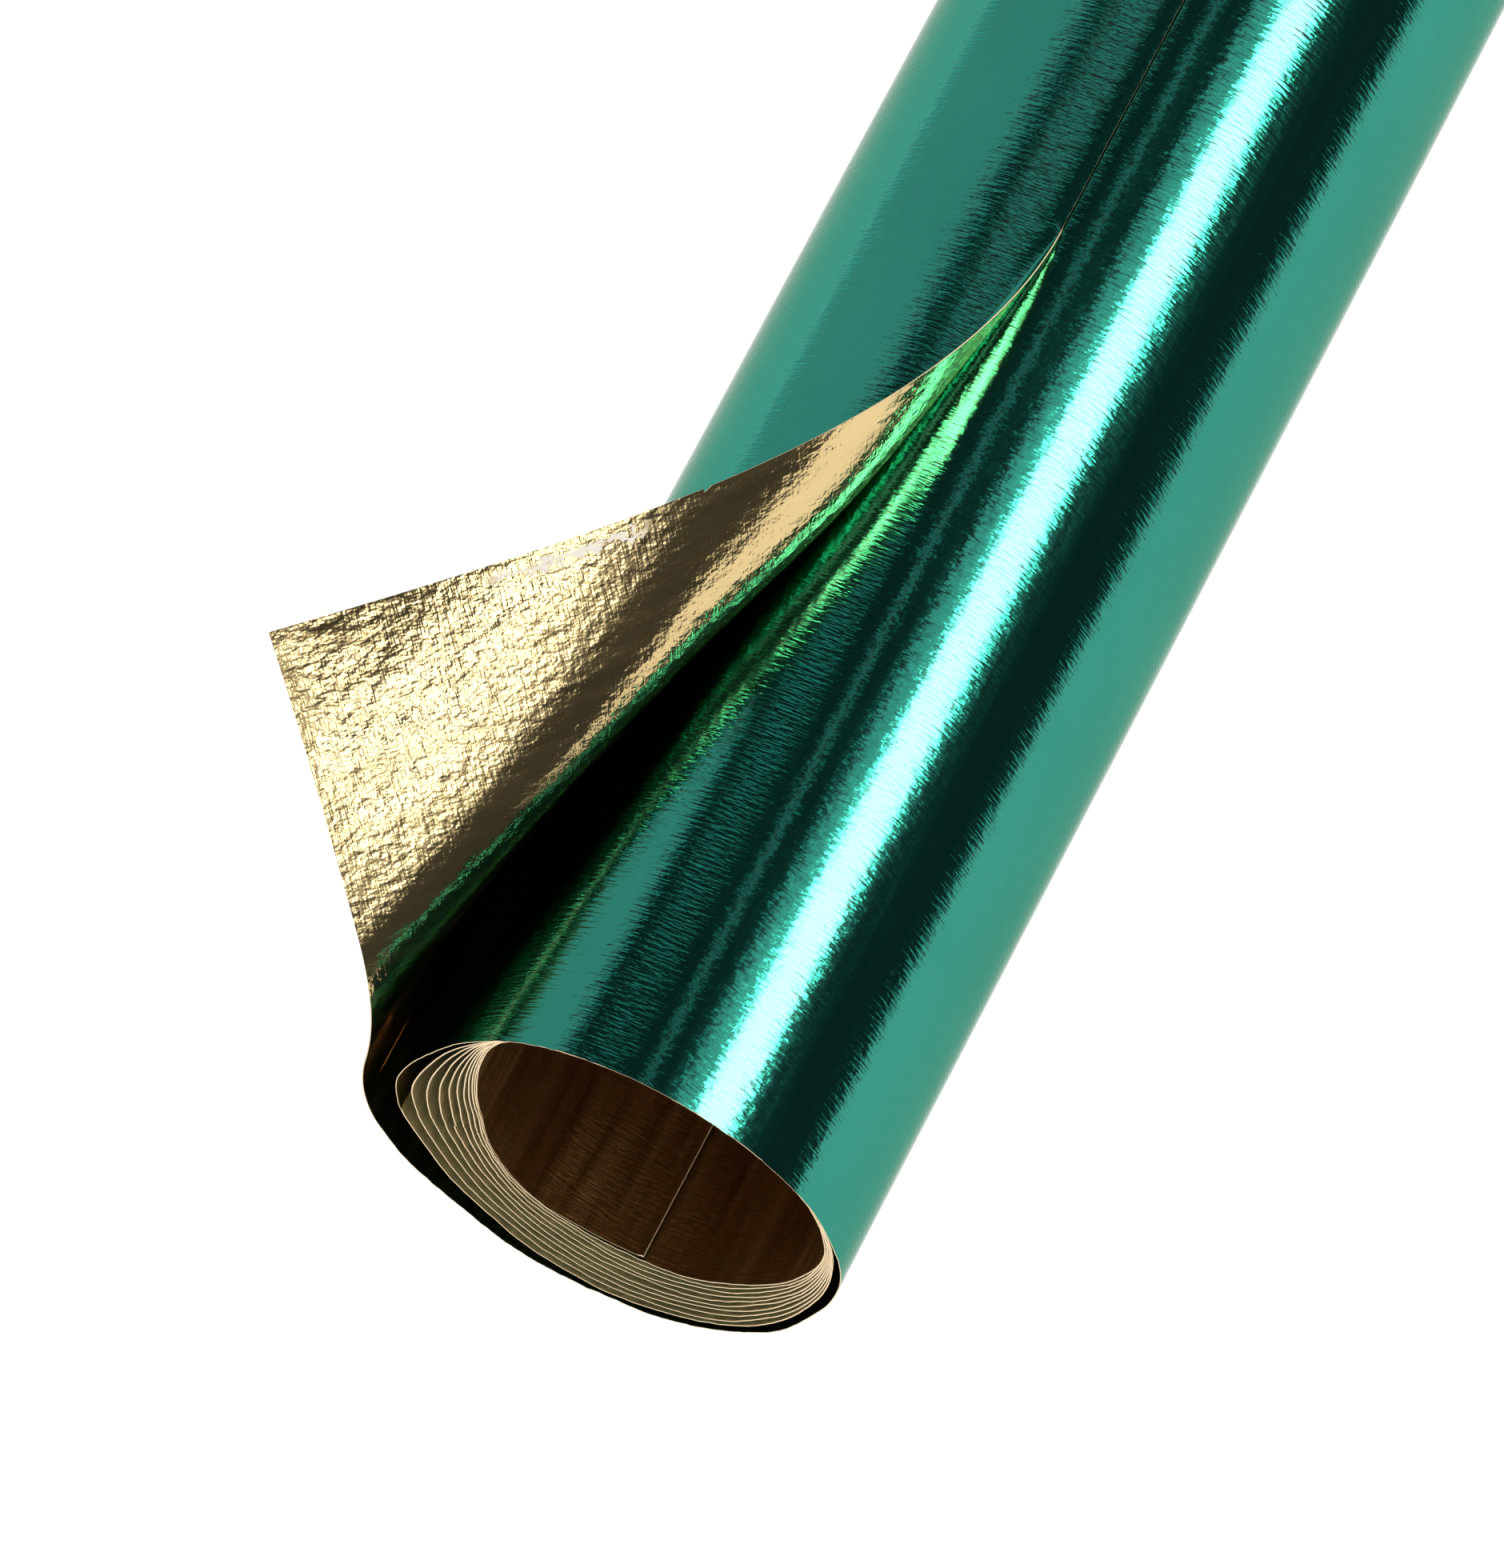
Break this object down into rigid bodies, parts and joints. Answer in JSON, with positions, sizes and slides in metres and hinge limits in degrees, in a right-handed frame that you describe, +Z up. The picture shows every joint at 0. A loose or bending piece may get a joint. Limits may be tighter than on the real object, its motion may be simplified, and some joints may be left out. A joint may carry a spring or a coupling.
{
  "type": "gift wrapping paper roll",
  "caption": "Coreless roll of two-sided foil gift wrap, green outside and gold inside, with one corner of the outer sheet peeled back.",
  "frame": {"origin": "on the flat strip that the roll rests on, midway along the roll, under the winding's centre", "axes": "+Z up, +Y along the roll from the end with the peeled corner to the far end, +X away from the side that the outer sheet peels to"},
  "size_m": [0.0866, 0.7, 0.075],
  "materials": {
    "green_foil": "metallised emerald foil film on paper, glossy, gold foil on the back",
    "gold_foil": "metallised gold foil film on paper, glossy, finely crinkled",
    "paper_edge": "raw cut edge of pale paper between the two films"
  },
  "bodies": {
    "outer_wrap": {"outer_wrap": "green_foil"},
    "tail_panel": {"tail_panel": "green_foil"},
    "corner_flap": {"corner_flap": "gold_foil"},
    "turn_01": {"turn_01": "green_foil"},
    "turn_02": {"turn_02": "green_foil"},
    "turn_03": {"turn_03": "green_foil"},
    "turn_04": {"turn_04": "green_foil"},
    "turn_05": {"turn_05": "green_foil"},
    "turn_06": {"turn_06": "green_foil"},
    "turn_07": {"turn_07": "green_foil"},
    "turn_08": {"turn_08": "green_foil"},
    "turn_09": {"turn_09": "green_foil"},
    "turn_10": {"turn_10": "green_foil"}
  },
  "joints": [
    {"name": "tail_open", "type": "hinge", "parent": "outer_wrap", "child": "tail_panel", "pos_m": [-0.0318, 0, 0.02576], "axis": [0, -1, 0], "range_deg": [0, 75]},
    {"name": "corner_peel", "type": "hinge", "parent": "tail_panel", "child": "corner_flap", "pos_m": [-0.0349, -0.3442, 0.0532], "axis": [0.2542, 0.9127, 0.3201], "range_deg": [-20, 25]},
    {"name": "telescope_10", "type": "slide", "parent": "outer_wrap", "child": "turn_10", "axis": [0, -1, 0], "range_m": [-0.004, 0.004]},
    {"name": "telescope_09", "type": "slide", "parent": "turn_10", "child": "turn_09", "axis": [0, -1, 0], "range_m": [-0.004, 0.004]},
    {"name": "telescope_08", "type": "slide", "parent": "turn_09", "child": "turn_08", "axis": [0, -1, 0], "range_m": [-0.004, 0.004]},
    {"name": "telescope_07", "type": "slide", "parent": "turn_08", "child": "turn_07", "axis": [0, -1, 0], "range_m": [-0.004, 0.004]},
    {"name": "telescope_06", "type": "slide", "parent": "turn_07", "child": "turn_06", "axis": [0, -1, 0], "range_m": [-0.004, 0.004]},
    {"name": "telescope_05", "type": "slide", "parent": "turn_06", "child": "turn_05", "axis": [0, -1, 0], "range_m": [-0.004, 0.004]},
    {"name": "telescope_04", "type": "slide", "parent": "turn_05", "child": "turn_04", "axis": [0, -1, 0], "range_m": [-0.004, 0.004]},
    {"name": "telescope_03", "type": "slide", "parent": "turn_04", "child": "turn_03", "axis": [0, -1, 0], "range_m": [-0.004, 0.004]},
    {"name": "telescope_02", "type": "slide", "parent": "turn_03", "child": "turn_02", "axis": [0, -1, 0], "range_m": [-0.004, 0.004]},
    {"name": "telescope_01", "type": "slide", "parent": "turn_02", "child": "turn_01", "axis": [0, -1, 0], "range_m": [-0.004, 0.004]}
  ],
  "couplings": [
    {"joint": "telescope_09", "follows": "telescope_10", "ratio": 1},
    {"joint": "telescope_08", "follows": "telescope_10", "ratio": 1},
    {"joint": "telescope_07", "follows": "telescope_10", "ratio": 1},
    {"joint": "telescope_06", "follows": "telescope_10", "ratio": 1},
    {"joint": "telescope_05", "follows": "telescope_10", "ratio": 1},
    {"joint": "telescope_04", "follows": "telescope_10", "ratio": 1},
    {"joint": "telescope_03", "follows": "telescope_10", "ratio": 1},
    {"joint": "telescope_02", "follows": "telescope_10", "ratio": 1},
    {"joint": "telescope_01", "follows": "telescope_10", "ratio": 1}
  ]
}
